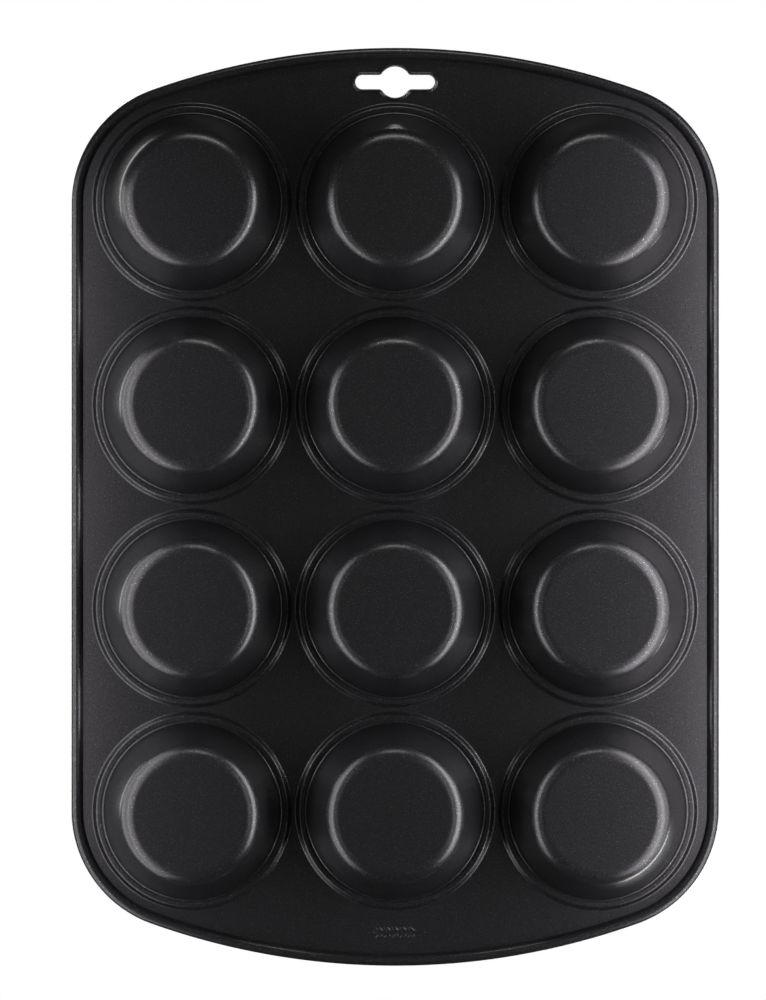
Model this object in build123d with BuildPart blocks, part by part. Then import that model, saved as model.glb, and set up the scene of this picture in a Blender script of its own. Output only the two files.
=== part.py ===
"""Twelve-cup muffin tin: drawn steel cups in a pressed plate with a wired, rolled edge.

Millimetres. The tin stands mouth up: z = 0 is the underside of the cup floors, Y runs along
the four rows towards the hanging slot, X across the three columns, and the origin is at the
middle of the cups' floors.
"""

from build123d import *
from math import asin, atan2, cos, degrees, radians, sin, tan
import os

# Sheet and wire
sheet = 0.5                   # thickness of the coated steel sheet
wire_radius = 1.55            # stiffening wire inside the rolled edge
wire_room = 0.05              # play between the wire and the roll around it
wire_butt_gap = 1.0           # between the two ends of the wire, mid-way along the plain end

# One cup, measured on its outside (sharp corners, before the bends)
floor_radius = 27.4           # floor corner
mouth_radius = 36.6           # where the wall meets the flange
cup_height = 28.8             # underside of the floor to underside of the flange
flange_width = 2.4            # flange beyond the wall
floor_bend = 7.1              # radius between floor and wall, outside
mouth_bend = 1.0              # radius between wall and flange, underside

# One seat, the pressed ring of the plate that carries a cup's flange
seat_drop = 1.7               # seat below the plate
seat_hole_room = 1.2          # from the foot of the cup's wall to the hole in the seat
flange_room = 0.2             # from the flange's edge to the start of the seat's bend
riser_run = 1.5               # how far the sloping riser runs outwards
seat_bend = 1.0               # radius at both ends of the riser, underside

# Layout
column_names = ["left", "middle", "right"]
columns = len(column_names)
rows = 4
seat_strip = 0.8              # flat strip of plate left between two neighbouring seats
side_land = 3.6               # flat plate between the side seats and the rolled edge
corner_back = 0.55            # how far the centres of the corner arcs lie inside the end cups'

# Rolled edge
roll_wrap = 70.0              # degrees that the roll carries on past its lowest point
raw_edge_room = 0.1           # from the raw edge of the roll to the plate's underside

# Hanging slot: a long slot with a round eye in its middle, its edge turned down
slot_length = 32.9
slot_width = 5.85
eye_radius = 6.45
eye_blend_room = 0.4          # what the radius where slot and eye meet has over the lip's bend
lip_bend = 1.0                # radius between the lip and the plate, underside
lip_depth = 1.1               # how far the lip hangs below the plate
slot_to_roll = 1.4            # flat plate between the lip's bend and the rolled edge
slot_to_seat = 0.25           # flat plate between the lip's bend and the nearest seat

# Stamped ear of wheat, a plain decoration at the other end
kernel_pairs = 5
kernel_length = 3.4
kernel_width = 1.5
kernel_lean = 32.0            # degrees from the stalk
kernel_spacing = 3.3
kernel_offset = 1.55          # kernel centre from the stalk's line
stalk_length = 6.0
stalk_width = 0.9
stamp_depth = 0.3

os.makedirs("parts", exist_ok=True)

# Heights
seat_top = cup_height
plate_bottom = seat_top - sheet + seat_drop
plate_top = plate_bottom + sheet

# Rings around one cup
riser_angle = degrees(atan2(seat_drop, riser_run))
bend_reach = seat_bend * tan(radians(riser_angle / 2))
flange_radius = mouth_radius + flange_width
seat_hole_radius = mouth_radius + seat_hole_room
riser_foot_radius = flange_radius + flange_room + bend_reach
riser_head_radius = riser_foot_radius + riser_run
seat_radius = riser_head_radius + bend_reach
plate_hole_radius = seat_radius + seat_strip / 4
pitch = 2 * seat_radius + seat_strip

# Rolled edge, in distance inwards from the tin's outline and height
roll_inner = wire_radius + wire_room
roll_outer = roll_inner + sheet
roll_centre = (roll_outer, plate_top - roll_outer)
leg_lean = radians(90 - roll_wrap)
leg_foot = (roll_outer * (1 + cos(leg_lean)), roll_centre[1] - roll_outer * sin(leg_lean))
leg_head_z = plate_bottom - raw_edge_room - sheet * sin(leg_lean)
leg_head = (leg_foot[0] + (leg_head_z - leg_foot[1]) * tan(leg_lean), leg_head_z)
roll_reach = leg_head[0]

# Hanging slot and the tin's own size
lip_over = lip_bend + sheet
lip_reach = eye_radius + lip_over
slot_inset = roll_reach + slot_to_roll + lip_reach
end_margin = slot_inset + lip_reach + slot_to_seat
tin_width = (columns - 1) * pitch + 2 * (seat_radius + side_land + roll_reach)
tin_length = (rows - 1) * pitch + 2 * (seat_radius + end_margin)
slot_y = tin_length / 2 - slot_inset
stamp_y = (roll_reach + end_margin - tin_length) / 2

# Plan outline: corner arcs round the corner cups, joined smoothly by the side lines and end bows
corner_radius = seat_radius + side_land + roll_reach
corner_x = (columns - 1) / 2 * pitch
corner_y = (rows - 1) / 2 * pitch - corner_back
bow_rise = tin_length / 2 - corner_y
bow_radius = (corner_x**2 + bow_rise**2 - corner_radius**2) / (2 * (bow_rise - corner_radius))
bow_centre_y = tin_length / 2 - bow_radius
corner_turn = degrees(atan2(corner_y - bow_centre_y, corner_x))
bow_turn = 180 - 2 * corner_turn

# Hanging slot's outline: where the eye runs into the slot through a small reversed arc
eye_blend = lip_over + eye_blend_room
slot_half = slot_width / 2
slot_end_x = slot_length / 2 - slot_half
blend_y = slot_half + eye_blend
blend_angle = degrees(asin(blend_y / (eye_radius + eye_blend)))
blend_x = blend_y / tan(radians(blend_angle))
blend_turn = 90 - blend_angle


def outline(inset, z):
    """Closed plan outline of the tin at height z, moved inwards by inset, from mid-way along +X."""
    side_x = tin_width / 2 - inset
    corner = corner_radius - inset
    bow = bow_radius - inset
    with BuildLine(Plane.XY.offset(z)) as edge:
        Line((side_x, 0), (side_x, corner_y))
        CenterArc((corner_x, corner_y), corner, 0, corner_turn)
        CenterArc((0, bow_centre_y), bow, corner_turn, bow_turn)
        CenterArc((-corner_x, corner_y), corner, 180 - corner_turn, corner_turn)
        Line((-side_x, corner_y), (-side_x, -corner_y))
        CenterArc((-corner_x, -corner_y), corner, 180, corner_turn)
        CenterArc((0, -bow_centre_y), bow, 180 + corner_turn, bow_turn)
        CenterArc((corner_x, -corner_y), corner, -corner_turn, corner_turn)
        Line((side_x, -corner_y), (side_x, 0))
    return edge.wire()


def slot_outline(grow, z):
    """Closed plan outline of the hanging slot at height z, grown by grow, from the top of its eye."""
    line_y = slot_half + grow
    with BuildLine(Plane((0, slot_y, z))) as edge:
        for way, turned in ((1, 0), (-1, 180)):
            CenterArc((0, 0), eye_radius + grow, turned + 90, blend_turn)
            CenterArc((-way * blend_x, way * blend_y), eye_blend - grow, turned - blend_angle, -blend_turn)
            Line((-way * blend_x, way * line_y), (-way * slot_end_x, way * line_y))
            CenterArc((-way * slot_end_x, 0), line_y, turned + 90, 180)
            Line((-way * slot_end_x, -way * line_y), (-way * blend_x, -way * line_y))
            CenterArc((-way * blend_x, -way * blend_y), eye_blend - grow, turned + 90, -blend_turn)
            CenterArc((0, 0), eye_radius + grow, turned + 180 + blend_angle, blend_turn)
    return edge.wire()


def stamp_marks(shrink, z):
    """Plan faces of the ear of wheat at height z: its stalk, leaning pairs of kernels and the tip."""
    first_x = -(kernel_pairs - 1) / 2 * kernel_spacing
    stalk_x = first_x - (kernel_length + stalk_length) / 2
    long_half = kernel_length / 2 - shrink
    short_half = kernel_width / 2 - shrink
    with BuildSketch(Plane((0, stamp_y, z))) as marks:
        with Locations((stalk_x, 0)):
            Ellipse(stalk_length / 2 - shrink, stalk_width / 2 - shrink)
        with Locations((-first_x + kernel_spacing, 0)):
            Ellipse(long_half, short_half)
        for pair in range(kernel_pairs):
            for side in (-1, 1):
                with Locations((first_x + pair * kernel_spacing, side * kernel_offset)):
                    Ellipse(long_half, short_half, rotation=side * kernel_lean)
    return marks.sketch


# Places of the cups, row by row from the hanging slot's end, left to right
cup_places = [
    ((column - (columns - 1) / 2) * pitch, ((rows - 1) / 2 - row) * pitch)
    for row in range(rows)
    for column in range(columns)
]

# One pressed seat of the plate, as a ring around one cup
with BuildPart() as seat:
    with BuildSketch(Plane.XZ):
        with BuildLine():
            FilletPolyline(
                (seat_hole_radius, seat_top - sheet),
                (riser_foot_radius, seat_top - sheet),
                (riser_head_radius, plate_bottom),
                (plate_hole_radius, plate_bottom),
                radius=seat_bend,
            )
            offset(amount=sheet, side=Side.LEFT)
        make_face()
    revolve(axis=Axis.Z)

# Upright plane across the edge, mid-way along +X: local x runs inwards from the outline, y up
edge_plane = Plane((tin_width / 2, 0, 0), x_dir=(-1, 0, 0), z_dir=(0, 1, 0))

# The edge of the plate, rolled down, under and back around the wire
with BuildPart() as rolled_edge:
    with BuildSketch(edge_plane):
        with BuildLine():
            CenterArc(roll_centre, roll_outer, 90, 180 + roll_wrap)
            Line(leg_foot, leg_head)
            offset(amount=sheet, side=Side.LEFT)
        make_face()
    sweep(path=outline(0, plate_top))

# The turned-down lip of the hanging slot, its section upright across the top of the eye
with BuildPart() as slot_lip:
    with BuildSketch(Plane((0, slot_y + eye_radius, 0), x_dir=(0, 1, 0), z_dir=(1, 0, 0))):
        with BuildLine():
            CenterArc((lip_over, plate_top - lip_over), lip_over, 90, 90)
            Line((0, plate_top - lip_over), (0, plate_bottom - lip_depth))
            offset(amount=sheet, side=Side.LEFT)
        make_face()
    sweep(path=slot_outline(0, plate_top))

# The plate: flat web, seats, rolled edge, turned-down slot and stamped ear
with BuildPart() as top_plate:
    with BuildSketch(Plane.XY.offset(plate_bottom)):
        make_face(outline(roll_outer, plate_bottom).edges())
        make_face(slot_outline(lip_over, plate_bottom).edges(), mode=Mode.SUBTRACT)
        with Locations(cup_places):
            Circle(plate_hole_radius, mode=Mode.SUBTRACT)
    extrude(amount=sheet)
    extrude(stamp_marks(0, plate_bottom), amount=-stamp_depth)
    extrude(stamp_marks(sheet / 2, plate_top), amount=-stamp_depth, mode=Mode.SUBTRACT)
    with Locations(cup_places):
        add(seat.part)
    add(rolled_edge.part)
    add(slot_lip.part)
top_plate.part.label = "top_plate"
export_step(top_plate.part, "parts/top_plate.step")

# The stiffening wire inside the rolled edge, bent from one length
with BuildPart() as rim_wire:
    with BuildSketch(edge_plane):
        with Locations(roll_centre):
            Circle(wire_radius)
    sweep(path=outline(roll_centre[0], roll_centre[1]))
    with Locations((0, roll_centre[0] - tin_length / 2, roll_centre[1])):
        Box(wire_butt_gap, 3 * wire_radius, 3 * wire_radius, mode=Mode.SUBTRACT)
rim_wire.part.label = "rim_wire"
export_step(rim_wire.part, "parts/rim_wire.step")

# One drawn cup, and its copy in every seat
with BuildPart() as cup:
    with BuildSketch(Plane.XZ):
        with BuildLine():
            FilletPolyline(
                (0, 0),
                (floor_radius, 0),
                (mouth_radius, cup_height),
                (flange_radius, cup_height),
                radius=[floor_bend, mouth_bend],
            )
            offset(amount=sheet, side=Side.LEFT)
        make_face()
    revolve(axis=Axis.Z)

for index, place in enumerate(cup_places):
    row, column = divmod(index, columns)
    with BuildPart() as placed_cup:
        with Locations(place):
            add(cup.part)
    name = f"cup_row{row + 1}_{column_names[column]}"
    placed_cup.part.label = name
    export_step(placed_cup.part, f"parts/{name}.step")
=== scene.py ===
"""Muffin tin: finished meshes, coating, light and camera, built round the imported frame.

The tin stands mouth up on z = 0, rows along Y with the hanging slot at +Y. Everything is in metres.
"""

import logging
from dataclasses import dataclass
from enum import Enum
from math import asin, atan2, cos, hypot, pi, radians, sin, tan, tau

import bmesh
import bpy
from bmesh.types import BMEdge, BMesh, BMFace, BMVert
from bpy.types import Material, Node, NodeSocket, Object
from mathutils import Matrix, Quaternion, Vector


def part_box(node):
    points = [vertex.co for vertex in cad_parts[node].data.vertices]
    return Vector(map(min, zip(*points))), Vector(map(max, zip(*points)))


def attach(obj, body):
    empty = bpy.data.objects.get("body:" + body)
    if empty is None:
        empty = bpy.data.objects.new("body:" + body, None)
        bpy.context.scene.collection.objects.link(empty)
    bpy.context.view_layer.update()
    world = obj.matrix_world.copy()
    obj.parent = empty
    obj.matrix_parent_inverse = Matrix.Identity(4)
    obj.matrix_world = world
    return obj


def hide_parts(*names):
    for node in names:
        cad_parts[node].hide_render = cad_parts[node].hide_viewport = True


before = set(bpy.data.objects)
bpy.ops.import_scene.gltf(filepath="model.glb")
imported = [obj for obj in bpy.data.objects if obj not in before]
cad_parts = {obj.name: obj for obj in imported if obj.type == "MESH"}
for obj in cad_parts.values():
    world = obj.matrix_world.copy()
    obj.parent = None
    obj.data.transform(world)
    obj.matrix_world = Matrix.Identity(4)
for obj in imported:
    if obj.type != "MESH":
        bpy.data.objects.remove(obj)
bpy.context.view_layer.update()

BODY = "root"
RAW_EDGE = "raw_edge"      # face attribute: 1 where the sheet was cut, 0 where it is coated
MERGE = 1e-6               # points closer than this are one point
log = logging.getLogger("muffin_tin")


class Side(Enum):
    """Which way a bend turns, seen along the pen's plane."""

    LEFT = 1
    RIGHT = -1


class SheetPen:
    """Draws a bent line in one plane, a straight run or a round bend at a time."""

    def __init__(self, bm: BMesh, start: Vector, heading: Vector, normal: Vector) -> None:
        """Puts the pen down.

        Args:
            bm: The mesh that takes the line.
            start: Where the line starts.
            heading: The direction of the first run.
            normal: The plane's normal; a left bend turns by the right-hand rule about it.
        """
        self.bm = bm
        self.normal = normal.normalized()
        self.heading = heading.normalized()
        self.tip: BMVert = bm.verts.new(start)

    def run(self, length: float) -> None:
        """Draws a straight run.

        Args:
            length: How far it goes.
        """
        grown = bmesh.ops.extrude_vert_indiv(self.bm, verts=[self.tip])
        self.tip = grown["verts"][0]
        bmesh.ops.translate(self.bm, verts=[self.tip], vec=self.heading * length)

    def bend(self, radius: float, angle: float, side: Side, steps: int) -> None:
        """Draws a round bend that starts along the heading.

        Args:
            radius: The bend's radius.
            angle: How far it turns, in radians.
            side: Which way it turns.
            steps: How many short edges make it.
        """
        turn = side.value * angle
        centre = self.tip.co + self.normal.cross(self.heading) * (radius * side.value)
        spun = bmesh.ops.spin(
            self.bm, geom=[self.tip], cent=centre, axis=self.normal, dvec=(0, 0, 0), angle=turn, steps=steps
        )
        self.tip = spun["geom_last"][0]
        self.heading = Quaternion(self.normal, turn) @ self.heading


@dataclass(frozen=True)
class SheetSteel:
    """The coated sheet that every pressed piece is made of."""

    thickness: float = 0.0005
    edge_softness: float = 0.00008

    def thicken(self, bm: BMesh, probe: Vector, outward: Vector) -> None:
        """Gives an open shell its wall, marks the cut edges and softens them.

        Args:
            bm: The shell, which is the outer face of the sheet.
            probe: A point near a face whose outward direction is known.
            outward: That direction.
        """
        bmesh.ops.remove_doubles(bm, verts=bm.verts[:], dist=MERGE)
        bmesh.ops.recalc_face_normals(bm, faces=bm.faces[:])
        known = min(bm.faces, key=lambda face: (face.calc_center_median() - probe).length)
        if known.normal.dot(outward) < 0:
            bmesh.ops.reverse_faces(bm, faces=bm.faces[:])
        cut = bm.faces.layers.float.new(RAW_EDGE)
        coated = set(bm.faces)
        rims = [edge for edge in bm.edges if edge.is_boundary]
        bmesh.ops.solidify(bm, geom=bm.faces[:], thickness=self.thickness)
        raw_faces = {face for edge in rims for face in edge.link_faces} - coated
        for face in raw_faces:
            face[cut] = 1.0
        corners = [
            edge for edge in {e for face in raw_faces for e in face.edges}
            if len(set(edge.link_faces) & raw_faces) == 1
        ]
        bmesh.ops.bevel(
            bm, geom=corners, offset=self.edge_softness, offset_type="OFFSET", segments=2, profile=0.5,
            affect="EDGES", material=-1, clamp_overlap=True,
        )
        for face in bm.faces:
            face.smooth = True


def finished_object(bm: BMesh, name: str, material: Material) -> Object:
    """Turns a finished bmesh into a dressed object at the origin.

    Args:
        bm: The mesh, which is freed.
        name: The object's name.
        material: Its finish.

    Returns:
        The new object.
    """
    mesh = bpy.data.meshes.new(name)
    bm.to_mesh(mesh)
    bm.free()
    mesh.materials.append(material)
    piece = bpy.data.objects.new(name, mesh)
    bpy.context.scene.collection.objects.link(piece)
    smooth = piece.modifiers.new("even_shading", "WEIGHTED_NORMAL")
    smooth.weight = 100
    smooth.keep_sharp = False
    return piece


class NodeBench:
    """Lays out shader nodes for one material."""

    def __init__(self, name: str) -> None:
        """Starts an empty material.

        Args:
            name: The material's name.
        """
        self.material = bpy.data.materials.new(name)
        self.material.use_nodes = True
        self.tree = self.material.node_tree
        self.shader: Node = self.tree.nodes["Principled BSDF"]
        self.place = self.tree.nodes.new("ShaderNodeTexCoord").outputs["Object"]

    def add(self, kind: str, settings: dict[str, object], **inputs: object) -> Node:
        """Adds a node.

        Args:
            kind: The node's type.
            settings: Its own properties.
            inputs: Values or sockets for its inputs, by name, with _ for a space.

        Returns:
            The node.
        """
        node = self.tree.nodes.new(kind)
        for key, value in settings.items():
            setattr(node, key, value)
        for key, value in inputs.items():
            self.feed(node, key.replace("_", " "), value)
        return node

    def feed(self, node: Node, socket: str, value: object) -> None:
        """Sets or links one input.

        Args:
            node: The node that takes it.
            socket: The input's name.
            value: A number, a colour or another node's output.
        """
        if isinstance(value, NodeSocket):
            self.tree.links.new(value, node.inputs[socket])
        else:
            node.inputs[socket].default_value = value

    def noise(self, scale: float, detail: float) -> NodeSocket:
        """Adds a noise pattern fixed to the piece.

        Args:
            scale: Features per metre.
            detail: Octaves of finer noise.

        Returns:
            Its value, from 0 to 1.
        """
        node = self.add("ShaderNodeTexNoise", {}, Vector=self.place, Scale=scale, Detail=detail)
        return node.outputs["Fac"]

    def span(self, value: NodeSocket, low: float, high: float, out_low: float, out_high: float) -> NodeSocket:
        """Stretches a value from one range to another, held within the new one.

        Args:
            value: What is stretched.
            low: Start of its range.
            high: End of its range.
            out_low: What the start becomes.
            out_high: What the end becomes.

        Returns:
            The new value.
        """
        node = self.add("ShaderNodeMapRange", {"clamp": True}, Value=value)
        ends = {"From Min": low, "From Max": high, "To Min": out_low, "To Max": out_high}
        for socket, number in ends.items():
            node.inputs[socket].default_value = number
        return node.outputs["Result"]

    def blend(self, share: NodeSocket, first: object, second: object) -> NodeSocket:
        """Mixes two colours.

        Args:
            share: How much of the second, from 0 to 1.
            first: A colour or a colour output.
            second: Another.

        Returns:
            The mixed colour.
        """
        node = self.tree.nodes.new("ShaderNodeMix")
        node.data_type = "RGBA"
        self.tree.links.new(share, node.inputs["Factor"])
        for index, colour in ((6, first), (7, second)):
            if isinstance(colour, NodeSocket):
                self.tree.links.new(colour, node.inputs[index])
            else:
                node.inputs[index].default_value = colour
        return node.outputs[2]


@dataclass(frozen=True)
class NonStickCoat:
    """Black non-stick coating, baked on sheet steel: satin, faintly pebbled, flecked with metal."""

    name: str = "non_stick_coat"
    colour: tuple[float, float, float, float] = (0.0085, 0.0083, 0.0089, 1.0)
    fleck_colour: tuple[float, float, float, float] = (0.19, 0.186, 0.196, 1.0)
    steel_colour: tuple[float, float, float, float] = (0.42, 0.41, 0.42, 1.0)
    fleck_scale: float = 2100.0
    fleck_start: float = 0.66
    fleck_full: float = 0.74
    gloss_scale: float = 1600.0
    roughness_low: float = 0.27
    roughness_high: float = 0.34
    pebble_scale: float = 1700.0
    pebble_height: float = 0.000005

    def material(self) -> Material:
        """Builds the finish.

        Returns:
            The material.
        """
        bench = NodeBench(self.name)
        cut = bench.add("ShaderNodeAttribute", {"attribute_name": RAW_EDGE}).outputs["Fac"]
        speckle = bench.noise(self.fleck_scale, 1.0)
        flecks = bench.span(speckle, self.fleck_start, self.fleck_full, 0.0, 1.0)
        coat = bench.blend(flecks, self.colour, self.fleck_colour)
        bench.feed(bench.shader, "Base Color", bench.blend(cut, coat, self.steel_colour))
        clouds = bench.noise(self.gloss_scale, 2.0)
        gloss = bench.span(clouds, 0.35, 0.65, self.roughness_low, self.roughness_high)
        bench.feed(bench.shader, "Roughness", gloss)
        metal = bench.add("ShaderNodeMath", {"operation": "MAXIMUM"})
        for socket, share in zip(metal.inputs, (cut, flecks)):
            bench.tree.links.new(share, socket)
        bench.feed(bench.shader, "Metallic", metal.outputs[0])
        bumps = bench.noise(self.pebble_scale, 2.0)
        pebbles = bench.add("ShaderNodeBump", {}, Strength=1.0, Distance=self.pebble_height, Height=bumps)
        bench.feed(bench.shader, "Normal", pebbles.outputs["Normal"])
        return bench.material


@dataclass(frozen=True)
class DrawnWire:
    """Bare drawn steel wire, dull, with patches that are duller still."""

    name: str = "drawn_wire"
    colour: tuple[float, float, float, float] = (0.50, 0.49, 0.48, 1.0)
    dull_colour: tuple[float, float, float, float] = (0.30, 0.29, 0.28, 1.0)
    patch_scale: float = 400.0
    roughness_low: float = 0.32
    roughness_high: float = 0.5

    def material(self) -> Material:
        """Builds the finish.

        Returns:
            The material.
        """
        bench = NodeBench(self.name)
        patches = bench.noise(self.patch_scale, 4.0)
        bench.feed(bench.shader, "Base Color", bench.blend(patches, self.colour, self.dull_colour))
        gloss = bench.span(patches, 0.3, 0.7, self.roughness_low, self.roughness_high)
        bench.feed(bench.shader, "Roughness", gloss)
        bench.shader.inputs["Metallic"].default_value = 1.0
        return bench.material


@dataclass(frozen=True)
class Span:
    """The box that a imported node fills, read once from the frame."""

    low: Vector
    high: Vector

    @classmethod
    def of(cls, node: str) -> "Span":
        """Reads a node's box.

        Args:
            node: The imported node's name.

        Returns:
            Its box.
        """
        low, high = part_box(node)
        return cls(Vector(low), Vector(high))

    def foot(self) -> Vector:
        """Middle of the box's bottom face."""
        return Vector(((self.low.x + self.high.x) / 2, (self.low.y + self.high.y) / 2, self.low.z))

    def half(self) -> Vector:
        """Half the box's size."""
        return (self.high - self.low) / 2


@dataclass(frozen=True)
class DrawnCup:
    """One cup drawn from a round blank: floor, sloping wall and a flange that lies on its seat."""

    node: str
    span: Span
    sheet: SheetSteel
    floor_radius: float = 0.0274
    mouth_radius: float = 0.0366
    floor_bend: float = 0.0071
    mouth_bend: float = 0.0010
    floor_bend_steps: int = 18
    mouth_bend_steps: int = 7
    steps: int = 144

    def build(self, finish: Material) -> Object:
        """Draws the section once and turns it round the cup's axis.

        Args:
            finish: The coating.

        Returns:
            The cup, which stands for its node.
        """
        centre = self.span.foot()
        height = self.span.high.z - self.span.low.z - self.sheet.thickness
        slant = Vector((self.mouth_radius - self.floor_radius, height))
        lean = atan2(slant.y, slant.x)
        floor_reach = self.floor_bend * tan(lean / 2)
        mouth_reach = self.mouth_bend * tan(lean / 2)

        bm = bmesh.new()
        pen = SheetPen(bm, centre, Vector((1, 0, 0)), Vector((0, -1, 0)))
        pen.run(self.floor_radius - floor_reach)
        pen.bend(self.floor_bend, lean, Side.LEFT, self.floor_bend_steps)
        pen.run(slant.length - floor_reach - mouth_reach)
        pen.bend(self.mouth_bend, lean, Side.RIGHT, self.mouth_bend_steps)
        pen.run(self.span.half().x - self.mouth_radius - mouth_reach)
        turn_round(bm, centre, self.steps)
        self.sheet.thicken(bm, centre, Vector((0, 0, -1)))
        cup = finished_object(bm, f"{self.node}_drawn", finish)
        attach(cup, BODY)
        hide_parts(self.node)
        return cup


@dataclass(frozen=True)
class SeatRing:
    """The pressed ring of the plate round one cup: hole, flat seat, sloping riser, edge of the web."""

    sheet: SheetSteel
    hole_radius: float = 0.0378
    flange_room: float = 0.0002
    drop: float = 0.0017
    riser_run: float = 0.0015
    bend: float = 0.0010
    inner_bend_steps: int = 5
    outer_bend_steps: int = 6
    steps: int = 144

    def press(self, cup: Span, top: float) -> BMesh:
        """Presses the ring under one cup's flange.

        Args:
            cup: The cup's box.
            top: Height of the plate's top face.

        Returns:
            The ring's top face.
        """
        centre = cup.foot()
        centre.z = top - self.drop
        slope = atan2(self.drop, self.riser_run)
        reach = self.bend * tan(slope / 2)
        bm = bmesh.new()
        start = centre + Vector((self.hole_radius, 0, 0))
        pen = SheetPen(bm, start, Vector((1, 0, 0)), Vector((0, -1, 0)))
        pen.run(cup.half().x + self.flange_room - self.hole_radius)
        pen.bend(self.bend - self.sheet.thickness, slope, Side.LEFT, self.inner_bend_steps)
        pen.run(hypot(self.drop, self.riser_run) - 2 * reach)
        pen.bend(self.bend + self.sheet.thickness, slope, Side.RIGHT, self.outer_bend_steps)
        pen.run(self.flange_room)
        turn_round(bm, centre, self.steps)
        return bm


@dataclass(frozen=True)
class RolledEdge:
    """The plate's edge, rolled down, under and back up round the stiffening wire."""

    sheet: SheetSteel
    wire_radius: float = 0.00155
    wire_room: float = 0.00005
    wrap: float = radians(70)
    raw_edge_room: float = 0.0001
    land: float = 0.0003
    roll_steps: int = 26
    corner_steps: int = 36
    bow_steps: int = 26

    def radius(self) -> float:
        """Outer radius of the roll."""
        return self.wire_radius + self.wire_room + self.sheet.thickness

    def leg(self) -> float:
        """Length of the straight leg between the roll and its raw edge."""
        lean = pi / 2 - self.wrap
        foot = -self.radius() * (1 + sin(lean))
        head = -self.sheet.thickness * (1 + sin(lean)) - self.raw_edge_room
        return (head - foot) / cos(lean)

    def reach(self) -> float:
        """How far in from the outline the rolled edge comes."""
        lean = pi / 2 - self.wrap
        return self.radius() * (1 + cos(lean)) + self.leg() * sin(lean)

    def roll(self, half: Vector, corner: Vector, top: float) -> BMesh:
        """Rolls one quarter of the edge along the outline, then mirrors it both ways.

        Args:
            half: Half the tin's width and length.
            corner: Centre of the arc round one corner.
            top: Height of the plate's top face.

        Returns:
            The roll's outer face.
        """
        bm = bmesh.new()
        start = Vector((half.x - self.radius() - self.land, 0, top))
        pen = SheetPen(bm, start, Vector((1, 0, 0)), Vector((0, -1, 0)))
        pen.run(self.land)
        pen.bend(self.radius(), pi + self.wrap, Side.RIGHT, self.roll_steps)
        pen.run(self.leg())

        corner_radius = half.x - corner.x
        bow_rise = half.y - corner.y
        bow_radius = (corner.x**2 + bow_rise**2 - corner_radius**2) / (2 * (bow_rise - corner_radius))
        bow_centre = Vector((0, half.y - bow_radius, 0))
        corner_turn = atan2(corner.y - bow_centre.y, corner.x)
        grown = bmesh.ops.extrude_edge_only(bm, edges=bm.edges[:])["geom"]
        section = [item for item in grown if not isinstance(item, BMFace)]
        moved = [item for item in section if isinstance(item, BMVert)]
        bmesh.ops.translate(bm, verts=moved, vec=(0, corner.y, 0))
        for centre, turn, steps in (
            (corner, corner_turn, self.corner_steps), (bow_centre, pi / 2 - corner_turn, self.bow_steps)
        ):
            spun = bmesh.ops.spin(
                bm, geom=section, cent=centre, axis=(0, 0, 1), dvec=(0, 0, 0), angle=turn, steps=steps
            )
            section = spun["geom_last"]
        for axis in ("X", "Y"):
            whole = bm.verts[:] + bm.edges[:] + bm.faces[:]
            bmesh.ops.mirror(bm, geom=whole, matrix=Matrix.Identity(4), merge_dist=MERGE, axis=axis)
        return bm


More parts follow.
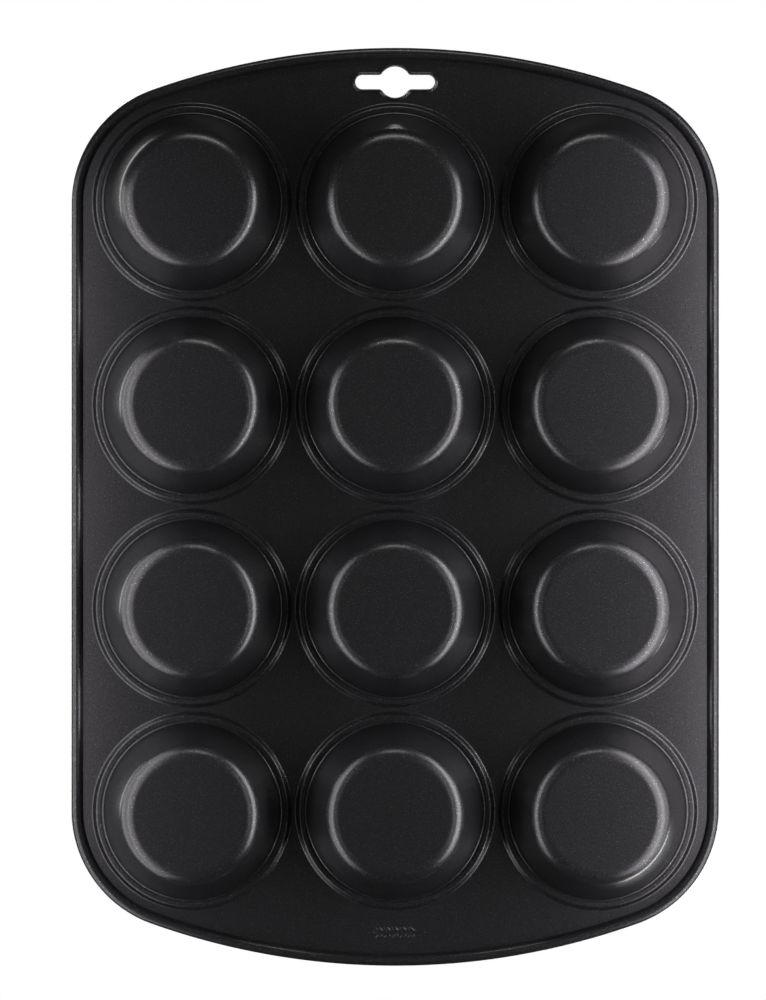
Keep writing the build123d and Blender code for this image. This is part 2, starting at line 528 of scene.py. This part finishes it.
@dataclass(frozen=True)
class HangingSlot:
    """A long slot with a round eye in its middle and a lip turned down all round."""

    sheet: SheetSteel
    length: float = 0.0329
    width: float = 0.00585
    eye_radius: float = 0.00645
    blend_room: float = 0.0004
    lip_bend: float = 0.0010
    lip_depth: float = 0.0011
    to_roll: float = 0.0014
    to_seat: float = 0.00025
    lip_steps: int = 6
    eye_steps: int = 10
    blend_steps: int = 8
    end_steps: int = 20

    def over(self) -> float:
        """Radius of the lip's bend on the top face."""
        return self.lip_bend + self.sheet.thickness

    def end_margin(self, roll_reach: float) -> float:
        """Distance from the seats to the outline at each end of the tin.

        Args:
            roll_reach: How far in the rolled edge comes.

        Returns:
            The distance.
        """
        return roll_reach + self.to_roll + 2 * (self.eye_radius + self.over()) + self.to_seat

    def pierce(self, outline_y: float, roll_reach: float, top: float) -> BMesh:
        """Makes the lip as rings of the slot's outline, one below another.

        Args:
            outline_y: Where the tin's end is.
            roll_reach: How far in the rolled edge comes.
            top: Height of the plate's top face.

        Returns:
            The lip's inner face.
        """
        centre = Vector((0, outline_y - roll_reach - self.to_roll - self.eye_radius - self.over(), top))
        levels = []
        for step in range(self.lip_steps + 1):
            turn = step / self.lip_steps * pi / 2
            levels.append((self.over() * (1 - sin(turn)), self.over() * (1 - cos(turn))))
        levels.append((0.0, self.sheet.thickness + self.lip_depth))
        bm = bmesh.new()
        rings = [self.ring(bm, centre - Vector((0, 0, drop)), grow) for grow, drop in levels]
        for upper, lower in zip(rings, rings[1:]):
            bmesh.ops.bridge_loops(bm, edges=upper + lower)
        return bm

    def ring(self, bm: BMesh, centre: Vector, grow: float) -> list[BMEdge]:
        """Draws the slot's outline once.

        Args:
            bm: The lip's mesh.
            centre: Middle of the outline.
            grow: How far outside the opening it runs.

        Returns:
            Its edges.
        """
        half_width = self.width / 2
        blend = self.over() + self.blend_room
        centre_angle = asin((half_width + blend) / (self.eye_radius + blend))
        turn = pi / 2 - centre_angle
        straight = self.length / 2 - half_width - (self.eye_radius + blend) * cos(centre_angle)
        before = set(bm.edges)
        start = centre + Vector((0, self.eye_radius + grow, 0))
        pen = SheetPen(bm, start, Vector((-1, 0, 0)), Vector((0, 0, 1)))
        for _ in range(2):
            pen.bend(self.eye_radius + grow, turn, Side.LEFT, self.eye_steps)
            pen.bend(blend - grow, turn, Side.RIGHT, self.blend_steps)
            pen.run(straight)
            pen.bend(half_width + grow, pi, Side.LEFT, self.end_steps)
            pen.run(straight)
            pen.bend(blend - grow, turn, Side.RIGHT, self.blend_steps)
            pen.bend(self.eye_radius + grow, turn, Side.LEFT, self.eye_steps)
        line = [edge for edge in bm.edges if edge not in before]
        points = list({vert for edge in line for vert in edge.verts})
        bmesh.ops.remove_doubles(bm, verts=points, dist=MERGE)
        return [edge for edge in bm.edges if edge not in before]


@dataclass(frozen=True)
class WheatStamp:
    """A small ear of wheat pressed into the plate: a stalk, leaning pairs of kernels and the tip."""

    middle: Vector
    kernel: tuple[float, float] = (0.0034, 0.0015)
    stalk: tuple[float, float] = (0.0060, 0.0009)
    pairs: int = 5
    lean: float = radians(32)
    spacing: float = 0.0033
    offset: float = 0.00155
    depth: float = 0.0003
    ring_steps: tuple[float, ...] = (0.86, 0.82, 0.75, 0.62)
    oval_sides: int = 28

    def ovals(self) -> list[Matrix]:
        """Places the marks.

        Returns:
            For each mark, the matrix that turns a unit circle into it.
        """
        first_x = -(self.pairs - 1) / 2 * self.spacing
        marks = [
            ((first_x - (self.kernel[0] + self.stalk[0]) / 2, 0.0), self.stalk, 0.0),
            ((self.spacing - first_x, 0.0), self.kernel, 0.0),
        ]
        for pair in range(self.pairs):
            for side in (-1, 1):
                place = (first_x + pair * self.spacing, side * self.offset)
                marks.append((place, self.kernel, side * self.lean))
        return [
            Matrix.Translation(self.middle + Vector((*place, 0))) @ Matrix.Rotation(turn, 4, "Z")
            @ Matrix.Diagonal((length / 2, width / 2, 1, 1))
            for place, (length, width), turn in marks
        ]

    def lay(self) -> BMesh:
        """Draws the marks flat, as rings one inside another.

        Returns:
            The flat marks.
        """
        bm = bmesh.new()
        for oval in self.ovals():
            circle = bmesh.ops.create_circle(bm, radius=1.0, segments=self.oval_sides, matrix=oval)
            loop = list({edge for vert in circle["verts"] for edge in vert.link_edges})
            about_middle = Matrix.Translation(-oval.translation)
            for shrink in self.ring_steps:
                grown = bmesh.ops.extrude_edge_only(bm, edges=loop)["geom"]
                loop = [item for item in grown if isinstance(item, BMEdge)]
                points = [item for item in grown if isinstance(item, BMVert)]
                bmesh.ops.scale(bm, vec=(shrink, shrink, 1), space=about_middle, verts=points)
            bmesh.ops.contextual_create(bm, geom=loop)
        return bm

    def press(self, bm: BMesh) -> None:
        """Sinks both skins of the finished sheet into the marks.

        Args:
            bm: The plate, with its thickness.
        """
        homes = [oval.inverted() for oval in self.ovals()]
        reach = self.pairs * self.spacing
        near = [vert for vert in bm.verts if (vert.co - self.middle).length < reach]
        for vert in near:
            share = min((home @ vert.co).xy.length for home in homes)
            if share < 1:
                vert.co.z -= self.depth * (1 - share**2)


@dataclass(frozen=True)
class PressedPlate:
    """The plate: a flat web that joins its rolled edge, its seats, its hanging slot and its stamp."""

    node: str
    span: Span
    cups: tuple[Span, ...]
    sheet: SheetSteel
    corner_back: float = 0.00055

    def build(self, finish: Material) -> Object:
        """Gathers the plate's features, fills the web between them and gives it all its thickness.

        Args:
            finish: The coating.

        Returns:
            The plate, which stands for its node.
        """
        half, top = self.span.half(), self.span.high.z
        corner = Vector((max(cup.foot().x for cup in self.cups), max(cup.foot().y for cup in self.cups), 0))
        corner.y -= self.corner_back
        edge, slot, seat = RolledEdge(self.sheet), HangingSlot(self.sheet), SeatRing(self.sheet)
        stamp_y = (edge.reach() + slot.end_margin(edge.reach())) / 2 - half.y
        stamp = WheatStamp(Vector((0, stamp_y, top)))
        features = [edge.roll(half, corner, top), slot.pierce(half.y, edge.reach(), top), stamp.lay()]
        features += [seat.press(cup, top) for cup in self.cups]
        bm = gathered(features)
        self.fill_web(bm, top)
        self.sheet.thicken(bm, Vector((half.x - edge.reach(), 0, top)), Vector((0, 0, 1)))
        stamp.press(bm)
        plate = finished_object(bm, f"{self.node}_pressed", finish)
        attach(plate, BODY)
        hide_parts(self.node)
        return plate

    def fill_web(self, bm: BMesh, top: float) -> None:
        """Fills the flat web between the features.

        The fill joins points that are under 0.03 units apart, so it is done on a mesh grown to millimetres.

        Args:
            bm: The gathered features.
            top: Height of the plate's top face.
        """
        rims = [
            edge for edge in bm.edges
            if edge.is_boundary and all(abs(vert.co.z - top) < MERGE for vert in edge.verts)
        ]
        grown = 1000.0
        bmesh.ops.scale(bm, vec=(grown, grown, grown), verts=bm.verts[:])
        bmesh.ops.triangle_fill(bm, use_beauty=True, use_dissolve=False, edges=rims, normal=(0, 0, 1))
        bmesh.ops.scale(bm, vec=(1 / grown, 1 / grown, 1 / grown), verts=bm.verts[:])


def turn_round(bm: BMesh, centre: Vector, steps: int) -> None:
    """Turns a section once round an upright axis.

    Args:
        bm: The mesh that holds the section and nothing else.
        centre: A point on the axis.
        steps: How many sides the round has.
    """
    bmesh.ops.spin(
        bm, geom=bm.verts[:] + bm.edges[:], cent=centre, axis=(0, 0, 1), dvec=(0, 0, 0), angle=tau,
        steps=steps, use_merge=True,
    )


def gathered(parts: list[BMesh]) -> BMesh:
    """Puts several meshes into one and joins the points that they share.

    Args:
        parts: The meshes, which are freed.

    Returns:
        The whole.
    """
    whole = bmesh.new()
    for part in parts:
        carrier = bpy.data.meshes.new("carrier")
        part.to_mesh(carrier)
        part.free()
        whole.from_mesh(carrier)
        bpy.data.meshes.remove(carrier)
    bmesh.ops.remove_doubles(whole, verts=whole.verts[:], dist=MERGE)
    return whole


@dataclass(frozen=True)
class Softbox:
    """A soft rectangular lamp."""

    name: str
    place: tuple[float, float, float]
    beam: tuple[float, float, float]
    width: float
    height: float
    power: float
    colour: tuple[float, float, float] = (1.0, 1.0, 1.0)

    def hang(self) -> Object:
        """Makes the lamp.

        Returns:
            The light's object.
        """
        lamp = bpy.data.lights.new(self.name, "AREA")
        lamp.shape = "RECTANGLE"
        lamp.size, lamp.size_y = self.width, self.height
        lamp.energy = self.power
        lamp.color = self.colour
        box = bpy.data.objects.new(self.name, lamp)
        box.location = self.place
        box.rotation_euler = Vector(self.beam).to_track_quat("-Z", "Y").to_euler()
        box.visible_camera = False
        bpy.context.scene.collection.objects.link(box)
        return box


@dataclass(frozen=True)
class Studio:
    """Pale table, white surroundings, soft lamps for the tin and for the table, and the camera."""

    table_size: float = 6.0
    table_gap: float = 0.0002
    surround: float = 0.042
    violet: tuple[float, float, float] = (0.97, 0.91, 1.0)
    camera_place: tuple[float, float, float] = (0.0050, 0.0028, -1.926)
    lens: float = 170.0
    sensor: float = 36.0
    view_end: float = 20.0
    table_pale: tuple[float, float, float, float] = (0.80, 0.80, 0.79, 1.0)
    table_paler: tuple[float, float, float, float] = (0.84, 0.84, 0.83, 1.0)
    table_grain: float = 30.0
    table_roughness: float = 0.6

    def build(self, pieces: list[Object]) -> None:
        """Sets the whole studio.

        Args:
            pieces: The tin's pieces; they and the table each have their own lamps.
        """
        self.paint_world()
        on_tin = (
            Softbox("right_low", (-0.19, -0.045, -0.005), (0.928, 0, -0.371), 0.49, 0.054, 0.23),
            Softbox("right_near", (-0.162, -0.045, -0.060), (0.84, 0, 0.54), 0.49, 0.07, 0.56, self.violet),
            Softbox("right_mid", (-0.22, -0.045, -0.06), (0.832, 0, -0.555), 0.49, 0.072, 0.40),
            Softbox("right_high", (-0.28, -0.045, -0.145), (0.809, 0, -0.588), 0.49, 0.136, 1.1),
            Softbox("right_over", (-0.26, -0.045, -0.40), (0.26, 0, 0.40), 0.49, 0.03, 0.36),
            Softbox("left_low", (0.19, -0.108, -0.005), (-0.928, 0, -0.371), 0.515, 0.054, 0.30),
            Softbox("left_near", (0.162, -0.108, -0.060), (-0.84, 0, 0.54), 0.515, 0.07, 0.34, self.violet),
            Softbox("left_high", (0.28, -0.108, -0.145), (-0.809, 0, -0.588), 0.515, 0.136, 1.0),
            Softbox("left_over", (0.26, -0.108, -0.40), (-0.26, 0, 0.40), 0.515, 0.03, 0.14),
            Softbox("head", (0.0, 0.50, -0.24), (0, -0.9, 0.44), 0.26, 0.12, 0.52),
            Softbox("above_key", (-1.0, -1.0, 1.5), (1.0, 1.0, -1.5), 1.4, 1.4, 40.0),
            Softbox("above_fill", (1.1, 0.5, 1.4), (-1.1, -0.5, -1.4), 1.6, 1.6, 28.0),
            Softbox("above_top", (0.0, 0.3, 2.0), (0, -0.3, -2.0), 2.4, 2.4, 60.0),
        )
        on_table = (
            Softbox("table_key", (-1.0, -1.0, 1.5), (1.0, 1.0, -1.5), 1.4, 1.4, 18.0),
            Softbox("table_ceiling", (0.0, 0.0, 3.0), (0, 0, -1), 8.0, 8.0, 215.0),
        )
        for lamps, lit in ((on_tin, pieces), (on_table, [self.lay_table()])):
            group = bpy.data.collections.new(f"lit_{lit[0].name}")
            for thing in lit:
                group.objects.link(thing)
            for lamp in lamps:
                lamp.hang().light_linking.receiver_collection = group
        self.set_camera()

    def lay_table(self) -> Object:
        """Lays a pale table that is seen only from above.

        Returns:
            The table.
        """
        bm = bmesh.new()
        bmesh.ops.create_grid(bm, x_segments=4, y_segments=4, size=self.table_size / 2)
        bmesh.ops.translate(bm, verts=bm.verts[:], vec=(0, 0, -self.table_gap))
        bench = NodeBench("pale_table")
        grain = bench.noise(self.table_grain, 5.0)
        bench.feed(bench.shader, "Base Color", bench.blend(grain, self.table_pale, self.table_paler))
        bench.shader.inputs["Roughness"].default_value = self.table_roughness
        back = bench.add("ShaderNodeNewGeometry", {}).outputs["Backfacing"]
        clear = bench.add("ShaderNodeBsdfTransparent", {})
        one_sided = bench.add("ShaderNodeMixShader", {}, Fac=back)
        output = bench.tree.nodes["Material Output"]
        bench.tree.links.new(bench.shader.outputs["BSDF"], one_sided.inputs[1])
        bench.tree.links.new(clear.outputs["BSDF"], one_sided.inputs[2])
        bench.tree.links.new(one_sided.outputs["Shader"], output.inputs["Surface"])
        mesh = bpy.data.meshes.new("table")
        bm.to_mesh(mesh)
        bm.free()
        mesh.materials.append(bench.material)
        table = bpy.data.objects.new("table", mesh)
        bpy.context.scene.collection.objects.link(table)
        for ray in ("shadow", "diffuse", "glossy", "transmission"):
            setattr(table, f"visible_{ray}", False)
        return table

    def paint_world(self) -> None:
        """Makes the surroundings white to look at and dim to light by."""
        world = bpy.data.worlds.new("white_room")
        world.use_nodes = True
        tree = world.node_tree
        tree.nodes.clear()
        path = tree.nodes.new("ShaderNodeLightPath")
        seen = tree.nodes.new("ShaderNodeBackground")
        dim = tree.nodes.new("ShaderNodeBackground")
        mix = tree.nodes.new("ShaderNodeMixShader")
        output = tree.nodes.new("ShaderNodeOutputWorld")
        seen.inputs["Color"].default_value = (1, 1, 1, 1)
        dim.inputs["Color"].default_value = (self.surround, self.surround, self.surround, 1)
        tree.links.new(path.outputs["Is Camera Ray"], mix.inputs[0])
        tree.links.new(dim.outputs[0], mix.inputs[1])
        tree.links.new(seen.outputs[0], mix.inputs[2])
        tree.links.new(mix.outputs[0], output.inputs["Surface"])
        bpy.context.scene.world = world

    def set_camera(self) -> None:
        """Aims the camera straight up at the tin's underside, with the hanging slot at the top."""
        optics = bpy.data.cameras.new("camera")
        optics.lens = self.lens
        optics.sensor_width = self.sensor
        optics.clip_end = self.view_end
        camera = bpy.data.objects.new("camera", optics)
        camera.location = self.camera_place
        camera.rotation_euler = (0, pi, 0)
        bpy.context.scene.collection.objects.link(camera)
        bpy.context.scene.camera = camera
        bpy.context.scene.view_settings.view_transform = "Standard"


def build_tin() -> None:
    """Builds the tin piece by piece, then the studio, and reports each piece."""
    sheet = SheetSteel()
    coat = NonStickCoat().material()
    cups = {name: Span.of(name) for name in sorted(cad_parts) if name.startswith("cup_")}
    pieces = [PressedPlate("top_plate", Span.of("top_plate"), tuple(cups.values()), sheet).build(coat)]
    pieces += [DrawnCup(name, span, sheet).build(coat) for name, span in cups.items()]
    for piece in pieces:
        log.info("%s: %d faces", piece.name, len(piece.data.polygons))
    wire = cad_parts["rim_wire"]
    wire.data.materials.clear()
    wire.data.materials.append(DrawnWire().material())
    Studio().build([*pieces, wire])


if __name__ == "__main__":
    logging.basicConfig(level=logging.INFO)
    build_tin()
